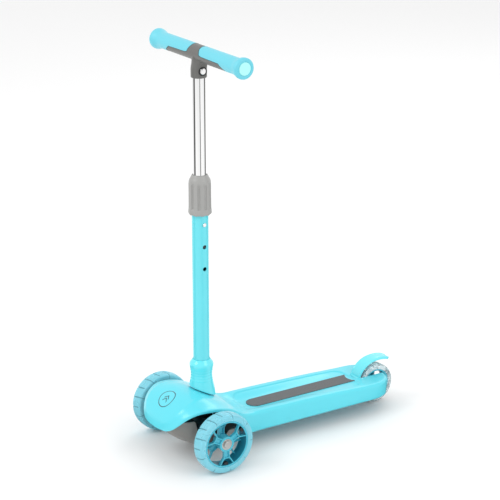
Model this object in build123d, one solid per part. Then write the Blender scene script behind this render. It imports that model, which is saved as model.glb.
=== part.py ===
from build123d import *
import math
import os

# Three-wheeled kick scooter, steered by leaning its column.
# Millimetres, +Z up. The scooter drives towards -Y, so the rider's left is +X.
# Everything is laid out from the floor point below the front axle; the last step moves the
# model so that its origin lies on the floor below the middle of its overall box.

# ---- driving dimensions ----------------------------------------------------------------
wheelbase = 442.0          # front axle to rear axle
nose_reach = 86.5          # front axle to the tip of the nose
front_r = 60.0             # front wheel radius
front_width = 30.0         # front tyre width
track = 237.0              # front wheel centre to front wheel centre
rear_r = 42.0              # rear wheel radius
rear_width = 26.0          # rear tyre width
tyre_depth_front = 13.0    # radial depth of the front tyre
tyre_depth_rear = 11.0     # radial depth of the rear tyre
rim_wall = 3.2             # radial depth of the wheel core's rim
spoke_half = 5.2           # half width of a spoke's foot
prong_half = 1.8           # half width of the two prongs it parts into
prong_tilt = 46.0          # angle of a prong to its spoke, degrees
light_height = 4.6         # radial depth of a light module

deck_half = 61.0           # half width of the deck
deck_top = 65.5            # height of the deck's rim
deck_bottom = 31.0         # height of the deck's underside
deck_start = 104.0         # where the full deck section starts
deck_wall = 3.2            # wall of the deck and hood moulding
arm_reach = 27.0           # how far the deck's arms pass the rear axle
tread_half = 44.0          # half width of the sunk tread
tread_sink = 1.2           # how far the tread lies below the rim
strip_half = 18.0          # half width of the grip strip
strip_start = 130.5       # front tip of the grip strip
tread_start = 118.0
strip_thick = 2.0
strip_sink = 1.4           # depth of the strip's bed
slot_half = 16.5           # half width of the rear wheel slot
slot_lead = 50.5           # how far the wheel slot starts ahead of the rear axle
hood_lip = 9.0             # depth of the hood's rim
wheel_gap = 8.5            # between the hood's side and the front wheel

column_y = 24.0            # column centre line behind the front axle
pivot_z = 64.0             # height of the lean pivot
lean_limit = 8.0           # lean to either side, degrees
rod_z = 37.0               # middle height of the tie rod
steer_ratio = 1.6          # steering angle for each degree of lean
block_half = 9.0           # lean block: half width and half depth
block_depth = 10.5
kingpin_x = 84.0
kingpin_r = 4.0
boss_r = 9.0               # kingpin boss of the front beam
boss_half = 15.0           # half height of that boss
ear = 4.5                  # thickness of the knuckle's ears

tube_r = 16.0              # lower tube outer radius
tube_wall = 1.5
tube_bottom = 128.0
tube_top = 546.0
hole_r = 4.1               # height holes
hole_top = 464.5           # highest height hole
hole_pitch = 44.3
hole_count = 3
inner_r = 12.7             # chrome tube outer radius
inner_wall = 1.2
inner_bottom = 430.0
collar_bottom = 484.0      # twist collar
collar_top = 561.0
collar_r = 21.6
socket_top = 188.0
socket_front = 132.0       # socket's lower edge at its front and at its rear
socket_rear = 110.0
socket_base_r = 27.0
neck_gap = 2.4             # gap between the socket and the hood

bar_z = 793.6              # handlebar axis
bar_y = 26.5               # handlebar axis behind the front axle
bar_half = 155.6
grip_r = 15.6
flange_r = 19.8
bar_tube_r = 11.0
stem_low = 748.5           # lower edge of the T piece's stem
stem_r = 15.25
t_button_z = 762.0
t_button_r = 6.3
h_button_r = 3.9

axle_r = 4.0               # 8 mm axles, 22 mm bearings
bearing_r = 11.0
bearing_w = 7.0
brake_lead = 45.0          # how far the brake's pin lies ahead of the rear axle
brake_pin_z = 61.0
brake_half = 14.5

# ---- named clearances ------------------------------------------------------------------
seat = 0.05                # running and push fits, on the radius
part_gap = 0.3             # between surfaces that move past each other

# ---- worked out from the above -----------------------------------------------------------
lever = pivot_z - rod_z
arm = lever / steer_ratio
wheel_x = track / 2
rear_y = wheelbase
rear_z = rear_r
origin_y = (wheelbase + rear_r - nose_reach) / 2
deck_end = wheelbase + arm_reach
slot_start = wheelbase - slot_lead
brake_pin_y = wheelbase - brake_lead
hood_side = wheel_x - front_width / 2 - wheel_gap
hole_heights = [hole_top - hole_pitch * i for i in range(hole_count)]
tube_inner = tube_r - tube_wall
inner_inner = inner_r - inner_wall

nodes = {}


def put(name, *shapes):
    """Keep a node: one solid, or a group of solids."""
    solids = [s for shape in shapes for s in shape.solids()]
    nodes[name] = solids[0] if len(solids) == 1 else Compound(children=solids)


def box(x0, x1, y0, y1, z0, z1):
    """Box between two corners."""
    size = (x1 - x0, y1 - y0, z1 - z0)
    return Pos((x0 + x1) / 2, (y0 + y1) / 2, (z0 + z1) / 2) * Box(*size)


def rod_x(r, x0, x1, y, z):
    """Cylinder along X."""
    return Pos((x0 + x1) / 2, y, z) * Rot(0, 90, 0) * Cylinder(r, x1 - x0)


def rod_y(r, y0, y1, x, z):
    """Cylinder along Y."""
    return Pos(x, (y0 + y1) / 2, z) * Rot(90, 0, 0) * Cylinder(r, y1 - y0)


def rod_z_(r, z0, z1, x, y):
    """Cylinder along Z."""
    return Pos(x, y, (z0 + z1) / 2) * Cylinder(r, z1 - z0)


def same(shape):
    """The piece as drawn, on the rider's left."""
    return shape


def mirrored(shape):
    """The same piece on the rider's right."""
    return mirror(shape, about=Plane.YZ)


def through(y, stations):
    """Smooth curve through (y, value) stations: Catmull-Rom pieces, straight beyond the ends."""
    ys = [s[0] for s in stations]
    vs = [s[1] for s in stations]
    y = min(max(y, ys[0]), ys[-1])
    i = max(k for k in range(len(ys) - 1) if ys[k] <= y)
    slope = []
    for k in (i, i + 1):
        a, b = max(k - 1, 0), min(k + 1, len(ys) - 1)
        slope.append((vs[b] - vs[a]) / (ys[b] - ys[a]))
    h = ys[i + 1] - ys[i]
    t = (y - ys[i]) / h
    return ((2 * t**3 - 3 * t**2 + 1) * vs[i] + (t**3 - 2 * t**2 + t) * h * slope[0]
            + (3 * t**2 - 2 * t**3) * vs[i + 1] + (t**3 - t**2) * h * slope[1])


# ---- deck and hood -----------------------------------------------------------------------
neck_front = column_y - tube_r - 7
neck_rear = column_y + tube_r + 7
neck_slope = (socket_front - socket_rear) / (neck_rear - neck_front)
lift = deck_top - 65.5
# centre line height, rim height and half width of the hood, front to back
crest = [(-nose_reach, 67), (-80, 92), (-70, 108.5), (-56, 122), (-40, 129.5), (-22, 133),
         (neck_front, socket_front - neck_gap), (neck_rear, socket_rear - neck_gap), (60, 99),
         (74, 88), (90, 75 + lift), (106, 67 + lift), (125, 65 + lift)]
rim = [(-nose_reach, 66), (-82, 72), (-76, 82), (-68, 94), (-57, 104.5), (-33, 114.5),
       (-10, 116), (20, 113.5), (45, 103), (60, 91), (76, 77), (90, 68 + lift),
       (106, 63.5 + lift), (125, 62 + lift)]
spread = [(-nose_reach, 34), (30, 30), (60, 46), (80, 64), (110, 100), (125, 100)]
plan = [(27, -82), (46, -76), (63, -68.5), (76, -57.4), (88, -44), (94, -30), (95, -10),
        (94, 15), (89.5, 35), (82, 51), (73.5, 66), (66.5, 84)]


def hood_height(x, y):
    """Bell-shaped cross-section: rim + (crest - rim) * exp(-(x / spread)^2)."""
    low = through(y, rim)
    return low + (through(y, crest) - low) * math.exp(-(x / through(y, spread)) ** 2)


def below_hood(drop):
    """Everything under the hood's upper surface, lowered by drop."""
    xs = [12 * i for i in range(-9, 10)]
    steps = 22
    ys = [-nose_reach - 6 + (132 + nose_reach + 6) * j / steps for j in range(steps + 1)]
    grid = [[Vector(x, y, hood_height(x, y) - drop) for y in ys] for x in xs]
    top = Face.make_surface_from_array_of_points(grid)
    return extrude(top, amount=200, dir=(0, 0, -1))


def hood_plan(inset):
    """Outline of the hood seen from above, up to where it runs into the deck."""
    side = []
    for x, y in [place for place in plan if place[0] >= 61]:
        share = min(max((y - 35) / 49, 0), 1)      # 0 beside the wheels, 1 where the deck begins
        side.append((x + (hood_side - 95) * (1 - share) + (deck_half - 61) * share - inset, y))
    front = [(x * (1 - inset / 60), y + inset) for x, y in plan if x < 61]
    half = deck_half - inset
    pts = [(0, inset - nose_reach)] + front + side + [(half, deck_start)]
    edge = Spline(*pts, tangents=[(1, 0), (0, 1)])
    tail = Line((half, deck_start), (half, deck_start + 14))
    back = Line((half, deck_start + 14), (0, deck_start + 14))
    other = [mirror(e, about=Plane.YZ) for e in (edge, tail, back)]
    return make_face([edge, tail, back] + other)


def deck_plan(inset, end):
    """Outline of the deck seen from above: straight sides and a rounded tail."""
    half = deck_half - inset
    tail = end - inset
    line = Polyline((0, deck_start), (half, deck_start), (half, tail - 52))
    bend = ThreePointArc((half, tail - 52), (half - 10, tail - 20), (20, tail))
    close = Line((20, tail), (0, tail))
    other = [mirror(e, about=Plane.YZ) for e in (line, bend, close)]
    return make_face([line, bend, close] + other)


def slab(face, z0, z1):
    """A flat outline raised from z0 to z1."""
    return extrude(Pos(0, 0, z0) * face, amount=z1 - z0)


beam_post_y = (58.0, 88.0)       # screws between the front beam and the deck
housing_half = 52.0


def make_deck():
    """Deck, hood, tail arms and wheel slot in one moulding, open below."""
    body = slab(deck_plan(0, deck_end), deck_bottom, deck_top)
    top = [e for e in body.edges() if e.center().Z > deck_top - 1 and e.center().Y > deck_start + 1]
    body = fillet(top, 6)
    # hood: outline under the bell surface, its rim only hood_lip deep in front of the deck
    hood = slab(hood_plan(0), deck_bottom, 150) & below_hood(0)
    under = below_hood(hood_lip) & box(-130, 130, -120, 52, -60, 150)
    rear_cut = make_face([
        Line((50, deck_bottom - 5), (50, 97)),
        ThreePointArc((50, 97), (74, 52), (deck_start + 10, deck_bottom)),
        Line((deck_start + 10, deck_bottom), (deck_start + 10, deck_bottom - 5)),
        Line((deck_start + 10, deck_bottom - 5), (50, deck_bottom - 5))])
    sweep_cut = extrude(Plane.YZ * rear_cut, amount=120, both=True)
    hood = hood - under - sweep_cut
    cavity = slab(hood_plan(deck_wall), deck_bottom - 5, 150) & below_hood(deck_wall)
    deck = body + hood - cavity
    # hollow deck with cross ribs; the tail arms stay solid round the axle
    hollow_end = rear_y - 11
    hollow = slab(deck_plan(deck_wall, deck_end), deck_bottom - 5, deck_top - 6.0)
    hollow = hollow & box(-80, 80, deck_start - 5, hollow_end, 0, 100)
    hollow = hollow - box(-slot_half - deck_wall, slot_half + deck_wall, slot_start - 12, deck_end + 20, 0, 100)
    ribs = [box(-80, 80, y, y + 2.5, 0, 100) for y in range(150, int(slot_start) - 10, 38)]
    ribs += [box(x - 1.25, x + 1.25, deck_start + 12, slot_start, 0, 100) for x in (-27, 27)]
    deck = deck - (hollow - ribs)
    deck = deck - box(-slot_half, slot_half, slot_start, deck_end + 20, 0, 200)
    # sunk tread with the strip's bed in it
    tread_end = slot_start - 4
    tread = box(-tread_half, tread_half, tread_start, tread_end, deck_top - tread_sink, deck_top + 3)
    tread = fillet(tread.edges().filter_by(Axis.Z), 14)
    deck = deck - tread - slab(strip_plan(part_gap), deck_top - tread_sink - strip_sink, 90)
    # opening in the hood for the leaning column, and its concentric neck
    deck = deck - neck_hole()
    deck = deck - rod_x(axle_r + seat, -80, 80, rear_y, rear_z)
    deck = deck - rod_x(2.5 + seat, -slot_half - 6, slot_half + 6, brake_pin_y, brake_pin_z)
    # screw bosses down to the front beam and to the housing
    for y in beam_post_y:
        post_top = hood_height(0, y) - deck_wall + 1
        post = rod_z_(6, tail_top, post_top, 0, y) - rod_z_(2.1, 0, tail_top + 9, 0, y)
        deck = deck + post
    for x, y in housing_bolts:
        top = hood_height(x, y) - deck_wall + 0.6
        deck = deck + (rod_z_(5, housing_rim, top, x, y) - rod_z_(1.6, 0, housing_rim + 10, x, y))
    # bed of the nose badge
    return deck - (badge_column(badge_r + 0.15) - below_hood(badge_sink))


badge_r = 20.5
badge_sink = 1.0
badge_proud = 0.4
badge_y = -56.0
beam_top = pivot_z + 6
beam_low = pivot_z - 10
tail_top = deck_top - 3.5          # plate behind the beam that the deck is screwed to
tail_end = 100.0
housing_rim = 46.0
housing_bolts = [(x, y) for y in (80.0,) for x in (-34.0, 34.0)]


def badge_column(r):
    """Round column through the nose, square to its slope at the badge."""
    z = hood_height(0, badge_y)
    slope = (hood_height(0, badge_y + 10) - hood_height(0, badge_y - 10)) / 20
    face = Plane(origin=(0, badge_y, z), z_dir=(0, -slope, 1))
    return face * Cylinder(r, 24)


def strip_plan(grow):
    """Grip strip outline: round front tip, rear end hollowed round the brake."""
    half = strip_half + grow
    end = slot_start - 9 + grow
    tip = strip_start + strip_half
    return make_face([
        Line((half, tip), (half, end)),
        ThreePointArc((half, end), (0, end - 7), (-half, end)),
        Line((-half, end), (-half, tip)),
        ThreePointArc((-half, tip), (0, tip - half), (half, tip))])


def neck_hole():
    """Slot in the hood that the lean block moves in."""
    swing = (tube_bottom - pivot_z) * math.sin(math.radians(lean_limit))
    half = block_half + swing + 1
    return box(-half, half, column_y - block_depth - 1.5, column_y + block_depth + 1.5, deck_bottom, 160)


put("grip_strip", slab(strip_plan(0), deck_top - tread_sink - strip_sink,
                       deck_top - tread_sink - strip_sink + strip_thick))
put("deck_shell", make_deck())
put("nose_badge", badge_column(badge_r) & (below_hood(-badge_proud) - below_hood(badge_sink)))


# ---- steering gear under the hood ----------------------------------------------------------
boss_low, boss_high = pivot_z - 4 - boss_half, pivot_z - 4 + boss_half
rail_in, rail_out = 22.0, 31.0


def make_beam():
    """Cross beam with the kingpin bosses, the frame round the lean block and its tail."""
    beam = box(-kingpin_x, kingpin_x, -8, 8, boss_low + 4, boss_high - 4)
    for x in (-kingpin_x, kingpin_x):
        beam = beam + rod_z_(boss_r, boss_low, boss_high, x, 0)
    ears_front, ears_rear = column_y - block_depth - 6, column_y + block_depth + 6
    beam = beam + box(-rail_out, rail_out, 0, ears_rear, beam_low, beam_top)
    inside = box(-rail_in, rail_in, column_y - block_depth - 1, column_y + block_depth + 1, 0, 150)
    beam = beam - inside
    beam = beam + box(-22, 22, ears_rear - 1, tail_end, tail_top - 12, tail_top)
    beam = beam - box(-17, 17, ears_rear + 5, tail_end - 5, 0, tail_top - 4)
    beam = beam - box(-9, 9, ears_rear, ears_rear + 8, pivot_z - 9, 90)
    for x in (-kingpin_x, kingpin_x):
        beam = beam - rod_z_(kingpin_r + seat, 0, 150, x, 0)
    beam = beam - rod_y(5 + seat, ears_front - 3, 80, 0, pivot_z)
    for y in beam_post_y:
        beam = beam - rod_z_(2.2, 0, 150, 0, y)
    return beam


def make_knuckle(side):
    """Knuckle: two ears on the kingpin, the stub plate and the steering arm with its stud."""
    plate_in, plate_out = kingpin_x + boss_r + 1.2, kingpin_x + boss_r + 7
    low, high = boss_low - part_gap - ear, boss_high + part_gap + ear
    knuckle = box(plate_in, plate_out, -9, 9, low, high)
    for z in (low, high - ear):
        knuckle = knuckle + box(kingpin_x, plate_out, -9, 9, z, z + ear)
        knuckle = knuckle + rod_z_(9, z, z + ear, kingpin_x, 0)
    arm_plate = box(kingpin_x - 6, kingpin_x + 6, 0, arm, low, low + ear)
    knuckle = knuckle + arm_plate + rod_z_(6, low, low + ear, kingpin_x, arm)
    knuckle = knuckle + rod_z_(3, rod_z - rod_half - 0.5, low + 1, kingpin_x, arm)
    knuckle = knuckle - rod_z_(kingpin_r + part_gap, 0, 150, kingpin_x, 0)
    knuckle = knuckle - rod_x(axle_r + seat, plate_in - 1, plate_out + 1, 0, front_r)
    return knuckle if side > 0 else mirrored(knuckle)


rod_half = 2.8


def make_tie_rod():
    """Flat tie rod: two eyes and a middle tab whose slot takes the lever pin."""
    low, high = rod_z - rod_half, rod_z + rod_half
    rod = box(-kingpin_x, kingpin_x, arm - 5, arm + 5, low, high)
    for x in (-kingpin_x, kingpin_x):
        rod = rod + rod_z_(6.5, low, high, x, arm)
    rod = rod + box(-11, 11, arm, column_y + 11, low, high)
    rod = rod - rod_z_(3 + seat, 0, 90, kingpin_x, arm) - rod_z_(3 + part_gap, 0, 90, -kingpin_x, arm)
    return rod - box(-4.9, 4.9, column_y - 6.5, column_y + 6.5, 0, 90)


def make_lean_block():
    """Steel block at the tube's foot: pivot bore, lever pin below, spigot in the tube."""
    y = column_y
    block = box(-block_half, block_half, y - block_depth, y + block_depth, pivot_z - 16, tube_bottom + 2)
    block = block + rod_z_(tube_inner - seat, tube_bottom, tube_bottom + 32, 0, y)
    block = block + rod_z_(4, rod_z - rod_half - 1, pivot_z - 15, 0, y)
    return block - rod_y(5 + part_gap, y - 20, y + 20, 0, pivot_z) - rod_y(3 + seat, 0, 60, 0, stem_bolt_z)


stem_bolt_z = tube_bottom + 16
spring_z = pivot_z - 11


def coil_x(x0, x1, y, z, r, wire, turns):
    """Compression spring along X."""
    height = x1 - x0 - 2 * wire
    path = Helix(height / turns, height, r)
    start = Plane(origin=path @ 0, z_dir=path % 0)
    coil = sweep(start * Circle(wire), path)
    return Pos(x0 + wire, y, z) * Rot(0, 90, 0) * coil


put("front_beam", make_beam())
for side, hand in ((1, "left"), (-1, "right")):
    turn = same if side > 0 else mirrored
    plate_out = kingpin_x + boss_r + 7
    put(f"{hand}_knuckle", make_knuckle(side))
    low, high = boss_low - part_gap - ear, boss_high + part_gap + ear
    bolt = rod_z_(kingpin_r, low - 4, high + 1, kingpin_x, 0)
    bolt = bolt + rod_z_(7, high + part_gap, high + 4.5, kingpin_x, 0)
    bolt = bolt + rod_z_(6.5, low - 5, low - part_gap, kingpin_x, 0)
    put(f"{hand}_kingpin", turn(bolt))
    # stub axle: runs from the knuckle through both bearings to its head
    x_out = wheel_x + front_width / 2
    axle = rod_x(axle_r - seat / 2, kingpin_x + boss_r + 1.4, x_out + 1, 0, front_r)
    head = fillet(rod_x(7.5, x_out - 2 + part_gap, x_out + 2.5, 0, front_r).edges().group_by(Axis.X)[-1], 1.5)
    put(f"{hand}_axle_bolt", turn(axle + head))
    x_in = wheel_x - front_width / 2 + 2
    spacer = rod_x(axle_r + 2.5, plate_out + seat, x_in - 2 * seat, 0, front_r)
    put(f"{hand}_axle_spacer", turn(spacer - rod_x(axle_r, 0, x_out, 0, front_r)))
    coil = coil_x(block_half + 0.4, rail_in - 0.2, column_y, spring_z, 4, 0.8, 5)
    put(f"{hand}_lean_spring", turn(coil))

pin_front = column_y - block_depth - 8
pin_rear = column_y + block_depth + 6.2
lean_bolt = rod_y(5, pin_front, pin_rear + 5, 0, pivot_z) + rod_y(7.5, pin_rear, pin_rear + 6, 0, pivot_z)
put("lean_pivot_bolt", lean_bolt)
put("tie_rod", make_tie_rod())
put("lean_block", make_lean_block())
put("beam_screws", *[rod_z_(2, tail_top - 6, tail_top + 8, 0, y)
                     + rod_z_(4.2, tail_top - 7, tail_top - 4, 0, y) for y in beam_post_y])


housing_low = 17.0
housing_round = 24.0


def make_housing():
    """Grey belly bowl below the steering gear, open at the sides where the beam passes."""
    def bowl(t):
        outline = make_face([
            Line((-58 + t, 70), (-57 + t, 60)),
            Spline((-57 + t, 60), (-38 + t, 40 + t / 2), (-15, 25 + t), (8, housing_low + t)),
            Line((8, housing_low + t), (40, housing_low + t)),
            Spline((40, housing_low + t), (66, 22 + t), (86 - t, housing_rim - 8)),
            Line((86 - t, housing_rim - 8), (86 - t, 70)),
            Line((86 - t, 70), (-58 + t, 70))])
        solid = extrude(Plane.YZ * outline, amount=housing_half, both=True)
        section = Pos(0, 0, 0) * RectangleRounded(2 * (housing_half - t), 120, housing_round - t)
        across = extrude(Plane.XZ * Pos(0, 60 + housing_low + t) * section, amount=200, both=True)
        return solid & across
    shell = bowl(0) - bowl(2.5)
    shell = shell & box(-60, 60, -100, 200, 0, 60)
    shell = shell - box(-60, 60, -22, 48, 30, 100)
    shell = shell - box(-60, 60, 46, 100, housing_rim, 100)
    # front of the bowl ends in a rim just below the hood's lip
    for x, y in housing_bolts:
        lug = rod_z_(5, housing_rim - 4, housing_rim, x, y)
        shell = shell + lug - rod_z_(1.7, 0, 90, x, y)
    return shell - below_side()


def below_side():
    """Nothing of the bowl stands higher than the hood's lip less a gap."""
    return box(-60, 60, -100, -22, 58, 100)


put("steering_housing", make_housing())
put("housing_screws", *[rod_z_(1.6 - seat, housing_rim - 6, housing_rim + 9, x, y)
                        + rod_z_(3.2, housing_rim - 6.5, housing_rim - 4, x, y) for x, y in housing_bolts])

# ---- column ----------------------------------------------------------------------------------
tube = rod_z_(tube_r, tube_bottom, tube_top, 0, column_y)
tube = tube - rod_z_(tube_inner, tube_bottom - 1, tube_top + 1, 0, column_y)
for z in hole_heights:
    tube = tube - rod_x(hole_r, 0, 30, column_y, z)
put("lower_tube", tube - rod_y(3 + seat, 0, 60, 0, stem_bolt_z))
put("stem_bolt", rod_y(3, column_y - tube_r + 0.7, column_y + tube_r - 0.7, 0, stem_bolt_z))


socket_line = [(socket_base_r - 0.6, socket_rear - 14), (socket_base_r, 118), (24.2, 133), (22.2, 150),
               (22.6, 165), (23.6, 177), (21, 184.5), (tube_r + 2.4, socket_top)]


def make_socket():
    """Bulged socket round the tube's foot, its lower edge sloped like the neck below it."""
    outer = Spline(*[(r, z) for r, z in socket_line])
    face = make_face([outer,
                      Line(socket_line[-1], (tube_r + seat, socket_top)),
                      Line((tube_r + seat, socket_top), (tube_r + seat, socket_line[0][1])),
                      Line((tube_r + seat, socket_line[0][1]), socket_line[0])])
    socket = revolve(Plane.XZ * face, Axis.Z)
    socket = Pos(0, column_y, 0) * socket
    foot = Rot(-math.degrees(math.atan(neck_slope)), 0, 0) * box(-60, 60, -90, 90, -80, 0)
    return socket - Pos(0, column_y, (socket_front + socket_rear) / 2) * foot


put("stem_socket", make_socket())
bush_low = tube_top - 46
bush = rod_z_(tube_inner - seat, bush_low, tube_top + 1, 0, column_y)
bush = bush + rod_z_(tube_r, tube_top + 0.1, tube_top + 3.5, 0, column_y)
put("tube_bushing", bush - rod_z_(inner_r + seat, 0, 900, 0, column_y))


def make_collar():
    """Twist collar: fluted cylinder with a conical shoulder and a flared scalloped foot."""
    shoulder = collar_top - 9
    body = rod_z_(collar_r, collar_bottom, shoulder, 0, column_y)
    body = body + Pos(0, column_y, (shoulder + collar_top) / 2) * Cone(
        collar_r, inner_r + 3.4, collar_top - shoulder)
    body = body + rod_z_(collar_r + 0.7, collar_bottom, collar_bottom + 10, 0, column_y)
    for i in range(12):
        a = math.radians(30 * i + 15)
        x, y = (collar_r + 2.2) * math.cos(a), column_y + (collar_r + 2.2) * math.sin(a)
        body = body - rod_z_(3.2, collar_bottom - 1, shoulder - 6, x, y)
    body = body - rod_z_(tube_r + part_gap, collar_bottom - 1, tube_top + 3.9, 0, column_y)
    return body - rod_z_(inner_r + part_gap, 0, 900, 0, column_y)


put("twist_collar", make_collar())

# ---- height-adjusted upper column --------------------------------------------------------------
tube = rod_z_(inner_r, inner_bottom, bar_z - bar_tube_r + 4, 0, column_y)
tube = tube - rod_z_(inner_inner, 0, 900, 0, column_y) - rod_x(hole_r, 0, 30, column_y, hole_top)
put("inner_tube", tube - rod_x(t_button_r + part_gap, 0, 30, column_y, t_button_z))
plug = rod_z_(tube_inner - part_gap, inner_bottom - 12, inner_bottom, 0, column_y)
plug = plug + rod_z_(inner_inner - seat, inner_bottom - 1, inner_bottom + 12, 0, column_y)
put("guide_plug", plug - rod_z_(inner_inner - 3, 0, 900, 0, column_y))

grip_x0 = 20.0
tongue_x = 104.0
tongue_top = bar_z - 3.5


def tongue_region(gap):
    """Side view area of the bar that is grey: its middle and a tongue below each grip."""
    right = make_face([
        Line((0, bar_z + 30), (16 - gap, bar_z + 30)),
        Line((16 - gap, bar_z + 30), (16 - gap, bar_z + 14)),
        Spline((16 - gap, bar_z + 14), (19 - gap, bar_z + 2), (32 - gap, tongue_top - gap)),
        Line((32 - gap, tongue_top - gap), (tongue_x - 16 - gap, tongue_top - gap)),
        Line((tongue_x - 16 - gap, tongue_top - gap), (tongue_x - gap, bar_z - 14)),
        Line((tongue_x - gap, bar_z - 14), (tongue_x - gap, bar_z - 30)),
        Line((tongue_x - gap, bar_z - 30), (0, bar_z - 30)),
        Line((0, bar_z - 30), (0, bar_z + 30))])
    half = extrude(Plane.XZ * right, amount=60, both=True)
    return Pos(0, bar_y, 0) * (half + mirrored(half))


def bar_shell(r_in, r_out, x):
    """Tube along the bar from -x to x."""
    return rod_x(r_out, -x, x, bar_y, bar_z) - rod_x(r_in, -x - 1, x + 1, bar_y, bar_z)


core = bar_shell(bar_tube_r - 0.5, grip_r, tongue_x + 4) & tongue_region(0)
core = core + bar_shell(bar_tube_r - 2.2, bar_tube_r, bar_half - 5)
stem = rod_z_(stem_r, stem_low, bar_z, 0, column_y) + rod_z_(stem_r - 1, bar_z - 12, bar_z + 1, 0, column_y)
core = core + (stem - rod_x(bar_tube_r - 1, -40, 40, bar_y, bar_z))
core = core - rod_z_(inner_r + seat, stem_low - 1, bar_z - bar_tube_r + 4.1, 0, column_y)
put("tbar_core", core - rod_x(t_button_r + part_gap, 8, 30, column_y, t_button_z))


def make_grip():
    """Left grip: rubber sleeve with a rounded end flange, cut round the grey tongue."""
    line = [
        Line((0, bar_tube_r + seat), (0, grip_r)),
        Line((0, grip_r), (bar_half - 24, grip_r)),
        Spline((bar_half - 24, grip_r), (bar_half - 16, grip_r + 1.2), (bar_half - 7, flange_r),
               tangents=[(1, 0), (1, 0)]),
        ThreePointArc((bar_half - 7, flange_r), (bar_half - 2, flange_r - 2.2), (bar_half, flange_r - 6)),
        Line((bar_half, flange_r - 6), (bar_half, bar_tube_r + 1 + seat)),
        Line((bar_half, bar_tube_r + 1 + seat), (bar_half - 4.5, bar_tube_r + 1 + seat)),
        Line((bar_half - 4.5, bar_tube_r + 1 + seat), (bar_half - 4.5, bar_tube_r + seat)),
        Line((bar_half - 4.5, bar_tube_r + seat), (0, bar_tube_r + seat))]
    sleeve = revolve(make_face(line), Axis.X)
    return Pos(0, bar_y, bar_z) * sleeve - tongue_region(-0.2)


grip = make_grip()
cap = rod_x(bar_tube_r + 1, bar_half - 4.4, bar_half, bar_y, bar_z)
cap = cap + rod_x(bar_tube_r - 2.2 - seat, bar_half - 16, bar_half - 4, bar_y, bar_z)
for side, hand in ((1, "left"), (-1, "right")):
    turn = same if side > 0 else mirrored
    put(f"{hand}_grip", turn(grip))
    put(f"{hand}_bar_cap", turn(cap))


def snap_button(r, x_face, z, dome, base_r, x_base):
    """Domed button with a base plate behind the tube wall."""
    pin = rod_x(r, x_base - 1, x_face, column_y, z)
    pin = fillet(pin.edges().group_by(Axis.X)[-1], dome)
    return pin + rod_x(base_r, x_base - 1.5, x_base, column_y, z)


def v_clip(z, x_base, reach):
    """Leaf spring bent into a V inside the inner tube, behind a button's base."""
    x1 = -inner_inner + 1.2
    path = Polyline((x_base - 2.2, z + 5), (x_base - 2.2, z - 5), (x1 + 1, z - reach), (x1 + 0.5, z + 2))
    strip = extrude(Plane.XZ * trace(path, 0.8), amount=3, both=True)
    return Pos(0, column_y, 0) * strip


put("tbar_button", snap_button(t_button_r, stem_r + 2.2, t_button_z, 2.6, 6.9, 8.6))
put("tbar_clip", v_clip(t_button_z, 7.1, 24))
put("height_button", snap_button(h_button_r, tube_r + 1.6, hole_top, 1.5, 4.9, 9.8))
put("height_clip", v_clip(hole_top, 8.3, 18))


# ---- wheels ----------------------------------------------------------------------------------
def wheel_parts(hand, x, y, z, r, width, depth, turn):
    """Tyre, spoked core, two bearings and the spacer between them, about the axle at (x, y, z)."""
    x0, x1 = x - width / 2, x + width / 2
    rim_r = r - depth
    tyre = rod_x(r, x0, x1, y, z)
    tyre = fillet(tyre.edges().filter_by(GeomType.CIRCLE), depth * 0.42)
    tyre = tyre - rod_x(rim_r, x0 - 1, x1 + 1, y, z)
    put(f"{hand}_tyre", turn(tyre))
    hub_r = bearing_r + 4.5
    core = rod_x(rim_r - seat, x0 + 2, x1 - 2, y, z) - rod_x(rim_r - rim_wall, x0, x1, y, z)
    core = core + rod_x(hub_r, x0 + 1.5, x1 - 1.5, y, z)
    fork = (hub_r + rim_r) / 2 - 2
    for k in range(6):
        outer = k % 2 == 0
        a, b = (x + 1, x1 - 3) if outer else (x0 + 3, x - 1)
        spoke = box(a, b, 0, fork, -spoke_half, spoke_half)
        for side in (-1, 1):
            prong = box(a, b, 0, rim_r - hub_r, -prong_half, prong_half)
            spoke = spoke + Pos(0, fork - 2, side * 3.4) * Rot(side * prong_tilt, 0, 0) * prong
        spoke = Pos(0, y, z) * Rot(60 * k - 90, 0, 0) * spoke
        core = core + (spoke & rod_x(rim_r - 1, x0, x1, y, z))
    core = core - rod_x(bearing_r - 2, x0, x1, y, z)
    for a, b in ((x0 + 1, x0 + 2 + bearing_w), (x1 - 2 - bearing_w, x1 - 1)):
        core = core - rod_x(bearing_r + seat, a, b, y, z)
    put(f"{hand}_wheel_core", turn(core))
    rings = [rod_x(bearing_r, a, a + bearing_w, y, z) - rod_x(axle_r, a - 1, a + bearing_w + 1, y, z)
             for a in (x0 + 2, x1 - 2 - bearing_w)]
    put(f"{hand}_bearings", *[turn(ring) for ring in rings])
    tube = rod_x(axle_r + 2, x0 + 2 + bearing_w + seat, x1 - 2 - bearing_w - seat, y, z)
    put(f"{hand}_bearing_spacer", turn(tube - rod_x(axle_r, x0, x1, y, z)))


def make_lights(x, r, width, depth):
    """Three light modules on the inside of the rim, each between the prongs of an outer spoke."""
    floor_r = r - depth - rim_wall
    block = box(x + width / 2 - 12, x + width / 2 - 5, floor_r - light_height, floor_r + 1, -4, 4)
    block = block & rod_x(floor_r, x, x + width, 0, 0)
    return [Pos(0, 0, r) * Rot(120 * k - 90, 0, 0) * block for k in range(3)]


wheel_parts("left", wheel_x, 0, front_r, front_r, front_width, tyre_depth_front, same)
wheel_parts("right", wheel_x, 0, front_r, front_r, front_width, tyre_depth_front, mirrored)
wheel_parts("rear", 0, rear_y, rear_z, rear_r, rear_width, tyre_depth_rear, same)
for hand, turn in (("left", same), ("right", mirrored)):
    lights = make_lights(wheel_x, front_r, front_width, tyre_depth_front)
    put(f"{hand}_light_modules", *[turn(light) for light in lights])

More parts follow.
